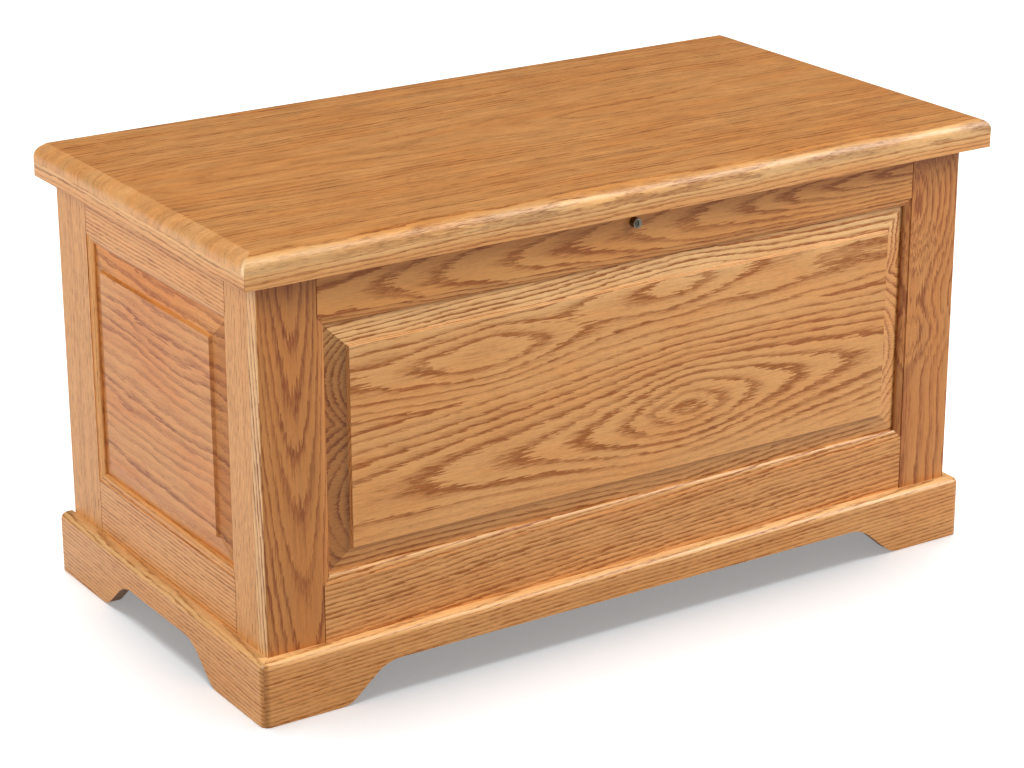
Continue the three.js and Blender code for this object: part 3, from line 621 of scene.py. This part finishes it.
cornerBlock = {"grain": "z", "ring": 5.0, "pores": 0.3, "eased": 0.8,
               "hearts": [{"across": 700.0, "at": 0.0, "deep": 60.0}]}
cornerSeeds = {"front_left": 86.0, "front_right": 87.0, "back_left": 88.0, "back_right": 89.0}
for corner, seed in cornerSeeds.items():
    name = corner.replace("_", " ") + " block wood"
    board(f"corner_block_{corner}", {**cornerBlock, "seed": seed}, name, plainWood)
print("inside wood dressed")


# Metal
steel = {"bright": (0.80, 0.79, 0.76), "dull": (0.66, 0.65, 0.62), "gloss": 0.26,
         "brush": (14, 0.5, 0.5), "seed": 1.0}
nickel = {"bright": (0.48, 0.44, 0.39), "dull": (0.34, 0.31, 0.27), "gloss": 0.2,
          "brush": (0.6, 8, 0.6), "seed": 2.0}
darkNickel = {"bright": (0.40, 0.38, 0.34), "dull": (0.28, 0.26, 0.23), "gloss": 0.25,
              "brush": (6, 6, 0.5), "seed": 3.0}
# the fine streaks and the broad dull patches that all three have
brushing = {"detail": 3.0, "rough": 0.6, "tones": 0.25, "gloss": 0.12}
dulling = {"size": (9, 9, 9), "seed": 4.0, "detail": 3.0, "span": (0.3, 0.7), "relief": 0.4, "gloss": 0.15}
metalBump = {"Strength": 0.3, "Distance": 0.0001}
metalEased = {"hinge": 0.12, "fitting": 0.15}


def metalFinish(name, metal):
    paint = Finish(bpy.data.materials.new(name))
    spot = paint.place()
    brushed = paint.cloud(spot, metal["brush"], metal["seed"], brushing["detail"], brushing["rough"])
    dull = paint.cloud(spot, dulling["size"], metal["seed"] + dulling["seed"], dulling["detail"])
    colour = paint.mix(paint.span(dull, *dulling["span"]), tint(*metal["bright"]), tint(*metal["dull"]))
    shader = paint.node("BsdfPrincipled", {}, {
        "Base Color": paint.brighten(colour, (brushed - noiseMean) * brushing["tones"] + 1.0),
        "Metallic": 1.0,
        "Roughness": dull * dulling["gloss"] + brushed * brushing["gloss"] + metal["gloss"],
        "Normal": paint.node("Bump", {}, {**metalBump, "Height": brushed + dull * dulling["relief"]}),
    })
    return paint.close(shader)


steelFinish = metalFinish("satin steel", steel)
nickelFinish = metalFinish("lock nickel", nickel)
plugFinish = metalFinish("dark nickel", darkNickel)

for side in ("left", "right"):
    for part in ("body_leaf", "lid_leaf", "pin"):
        dress(f"{side}_hinge_{part}", steelFinish, metalEased["hinge"])
stayParts = ("stay_arm", "stay_wall_pin", "stay_lid_bracket", "stay_pivot_rivet")
for node in (*stayParts, "lock_case", "lock_strike"):
    dress(node, steelFinish, metalEased["fitting"])
for node in ("lock_plunger", "lock_bolt"):
    dress(node, nickelFinish, metalEased["fitting"])
dress("lock_key_plug", plugFinish, metalEased["fitting"])
print("metal dressed")

# Screws
screw = {
    "radius": 2.05, "slot": 0.7,
    "slotFoot": 0.35,                   # how far the foot of the slot lies under the rim of the head
    "shank": 1.3, "neck": 1.2, "length": 11.0, "point": 2.0, "tip": 0.1,
    "sides": 28, "headSteps": 12,
    # the outline of the head from its rim up: shares of the radius, and heights
    "sunkHead": ((1.0, -0.32), (0.93, -0.12)),
    "roundHead": ((1.0, 0.0), (0.96, 0.5), (0.7, 0.9)),
}


def addShank(mesh, base):
    # the closed body of the screw, from under its slot to its point
    outline = [(screw["radius"], base), (screw["shank"], base - screw["neck"]),
               (screw["shank"], screw["point"] - screw["length"]), (screw["tip"], -screw["length"])]
    turns = [2 * math.pi * i / screw["sides"] for i in range(screw["sides"])]
    loops = [[mesh.verts.new((r * math.cos(t), r * math.sin(t), z)) for t in turns] for r, z in outline]
    for upper, lower in zip(loops, loops[1:]):
        for i in range(len(turns)):
            j = (i + 1) % len(turns)
            mesh.faces.new((upper[i], lower[i], lower[j], upper[j]))
    mesh.faces.new(loops[0])
    mesh.faces.new(list(reversed(loops[-1])))


def addHalfHead(mesh, rim, base, way):
    # what stands on one side of the slot
    radius, half = screw["radius"], screw["slot"] / 2
    cut = math.asin(half / radius)
    turns = [cut + (math.pi - 2 * cut) * i / screw["headSteps"] for i in range(screw["headSteps"] + 1)]
    levels = []
    for r, z in [(radius, base)] + rim:
        corners = [(r * math.cos(t), way * max(r * math.sin(t), half), z) for t in turns]
        levels.append([mesh.verts.new(corner) for corner in corners])
    for lower, upper in zip(levels, levels[1:]):
        for i in range(len(turns)):
            j = (i + 1) % len(turns)
            mesh.faces.new((lower[i], lower[j], upper[j], upper[i]))
    mesh.faces.new(levels[-1])
    mesh.faces.new(list(reversed(levels[0])))


def addScrew(name, body, place, facing, turn, head="sunkHead"):
    # a slotted wood screw: place is the middle of its head, facing the way that the head looks
    mesh = bmesh.new()
    rim = [(share * screw["radius"], height) for share, height in screw[head]]
    base = rim[0][1] - screw["slotFoot"]
    addShank(mesh, base)
    for way in (1, -1):
        addHalfHead(mesh, rim, base, way)
    bmesh.ops.recalc_face_normals(mesh, faces=mesh.faces)
    aim = Vector(facing).to_track_quat("Z", "Y").to_matrix().to_4x4()
    middle = Matrix.Translation(Vector(place) / metre)
    turned = Matrix.Rotation(math.radians(turn), 4, "Z")
    mesh.transform(middle @ aim @ turned @ Matrix.Scale(1 / metre, 4))
    shape = bpy.data.meshes.new(name)
    mesh.to_mesh(shape)
    mesh.free()
    shape.materials.append(steelFinish)
    piece = bpy.data.objects.new(name, shape)
    bpy.context.scene.collection.objects.link(piece)
    shadeRound(piece, "sharp")
    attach(piece, body)


def extent(node, axis):
    # where a piece begins and ends along an axis, in millimetres
    return tuple(corner["xyz".index(axis)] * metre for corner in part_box(node))


def slotTurn(turns, i):
    # turns holds the degrees of the first slot in a row, and how many more each next one is turned by
    first, more = turns
    return first + more * i


hingeScrews = {"inset": 11.0, "bodyTurns": (20, 47), "lidTurns": (65, 31)}
railTop, railBack = extent("back_top_rail", "z")[1], extent("back_top_rail", "y")[1]
lidUnder = extent("lid_strip_back", "z")[0]
for side in ("left", "right"):
    near, far = extent(f"{side}_hinge_body_leaf", "x")
    y = (extent(f"{side}_hinge_body_leaf", "y")[0] + railBack) / 2
    for i, x in enumerate((near + hingeScrews["inset"], (near + far) / 2, far - hingeScrews["inset"])):
        turn = slotTurn(hingeScrews["bodyTurns"], i)
        addScrew(f"{side}_hinge_body_screw_{i + 1}", "chest", (x, y, railTop), (0, 0, 1), turn)
        turn = slotTurn(hingeScrews["lidTurns"], i)
        addScrew(f"{side}_hinge_lid_screw_{i + 1}", "lid", (x, y, lidUnder), (0, 0, -1), turn)

# plate is the thickness of the stay's wall plate, and of its bracket's flange
stayScrews = {"plate": 2.0, "apart": 9.0, "aside": 3.0, "wallTurns": (30, 70), "lidTurns": (15, 80)}
plateX = extent("stay_wall_pin", "x")[0] + stayScrews["plate"]
plateY, plateZ = (sum(extent("stay_wall_pin", axis)) / 2 for axis in "yz")
bracketX, bracketY = (sum(extent("stay_lid_bracket", axis)) / 2 for axis in "xy")
flangeUnder = extent("stay_lid_bracket", "z")[1] - stayScrews["plate"]
for i, away in enumerate((-stayScrews["apart"], stayScrews["apart"])):
    turn = slotTurn(stayScrews["wallTurns"], i)
    place = (plateX, plateY + away, plateZ)
    addScrew(f"stay_wall_screw_{i + 1}", "chest", place, (1, 0, 0), turn, "roundHead")
    turn = slotTurn(stayScrews["lidTurns"], i)
    place = (bracketX + stayScrews["aside"], bracketY + away, flangeUnder)
    addScrew(f"stay_lid_screw_{i + 1}", "lid", place, (0, 0, -1), turn, "roundHead")

lockScrews = {"aside": 18.0, "inset": 6.0, "turns": (25, 55)}
caseBack = extent("lock_case", "y")[1]
caseLow, caseTop = extent("lock_case", "z")
caseCorners = [(x, z) for z in (caseLow + lockScrews["inset"], caseTop - lockScrews["inset"])
               for x in (-lockScrews["aside"], lockScrews["aside"])]
for i, (x, z) in enumerate(caseCorners):
    turn = slotTurn(lockScrews["turns"], i)
    addScrew(f"lock_case_screw_{i + 1}", "chest", (x, caseBack, z), (0, 1, 0), turn, "roundHead")
print("screws added")

# Studio, in metres
studio = {
    "floorShade": 0.35,                     # the floor's grey in the light that it throws on the chest
    "floorShown": (0.95, 0.98, 1.0, 1.0),   # its white as it is seen
    "floorGlow": 0.29,
    "floorReach": 60.0, "floorDrop": 0.0002,
    "air": 0.17,
    "lampAim": 0.25,                        # height that the lamps look at
    # where each lamp is seen from the chest: degrees round from the front to the right, and up. Its level
    # is how bright it makes a white card that faces it, where 1 is white.
    "lamps": {
        "key": {"round": 54, "up": 37, "away": 6.0, "size": (2.4, 4.6), "level": 1.12, "on": "chest"},
        "left": {"round": -85, "up": 34, "away": 4.0, "size": (1.6, 2.4), "level": 0.64, "on": "chest"},
        "overhead": {"round": 150, "up": 80, "away": 3.0, "spread": 46, "level": 1.05, "on": "floor"},
    },
}
white = (1.0, 1.0, 1.0, 1.0)


def seenRays(paint):
    # 1 for rays that come from the camera, straight or by way of a shine or glass
    straight = paint.node("LightPath", out="Is Camera Ray")
    shiny = straight.maths("MAXIMUM", straight, straight.also("Is Glossy Ray"))
    return straight.maths("MAXIMUM", shiny, straight.also("Is Transmission Ray"))


ground = Finish(bpy.data.materials.new("white studio floor"))
felt = ground.node("BsdfDiffuse", {}, {"Color": [studio["floorShade"]] * 3 + [1.0]})
shown = ground.node("BsdfDiffuse", {}, {"Color": studio["floorShown"]})
glow = ground.node("Emission", {}, {"Color": white, "Strength": studio["floorGlow"]})
shown = ground.node("AddShader", {}, {0: shown, 1: glow})
ground.close(ground.node("MixShader", {}, {0: seenRays(ground), 1: felt, 2: shown}))
floorMesh = bpy.data.meshes.new("floor")
reach = studio["floorReach"]
corners = [(x * reach, y * reach, -studio["floorDrop"]) for x, y in ((-1, -1), (1, -1), (1, 1), (-1, 1))]
floorMesh.from_pydata(corners, [], [(0, 1, 2, 3)])
floorMesh.materials.append(ground.owner)
floor = bpy.data.objects.new("floor", floorMesh)
bpy.context.scene.collection.objects.link(floor)

sky = bpy.data.worlds.new("studio air")
bpy.context.scene.world = sky
air = Finish(sky)
air.close(air.node("Background", {}, {"Color": white, "Strength": studio["air"]}), "OutputWorld")

# The floor has a lamp of its own, so that it stays white and the shadow on it narrow and soft.
lit = {}
for name, state in (("floor", "INCLUDE"), ("chest", "EXCLUDE")):
    lit[name] = bpy.data.collections.new(f"lit as {name}")
    lit[name].objects.link(floor)
    lit[name].collection_objects[0].light_linking.link_state = state

for name, lamp in studio["lamps"].items():
    if "size" in lamp:
        light = bpy.data.lights.new(name, "AREA")
        light.shape = "ELLIPSE"
        light.size, light.size_y = lamp["size"]
        light.energy = lamp["level"] * (math.pi * lamp["away"]) ** 2
    else:
        light = bpy.data.lights.new(name, "SUN")
        light.angle = math.radians(lamp["spread"])
        light.energy = lamp["level"] * math.pi
    turn, up = math.radians(lamp["round"]), math.radians(lamp["up"])
    towards = Vector((math.sin(turn) * math.cos(up), -math.cos(turn) * math.cos(up), math.sin(up)))
    stand = bpy.data.objects.new(name, light)
    stand.location = towards * lamp["away"] + Vector((0, 0, studio["lampAim"]))
    stand.visible_camera = False
    stand.rotation_euler = towards.to_track_quat("Z", "Y").to_euler()
    stand.light_linking.receiver_collection = lit[lamp["on"]]
    bpy.context.scene.collection.objects.link(stand)
print("studio lit")
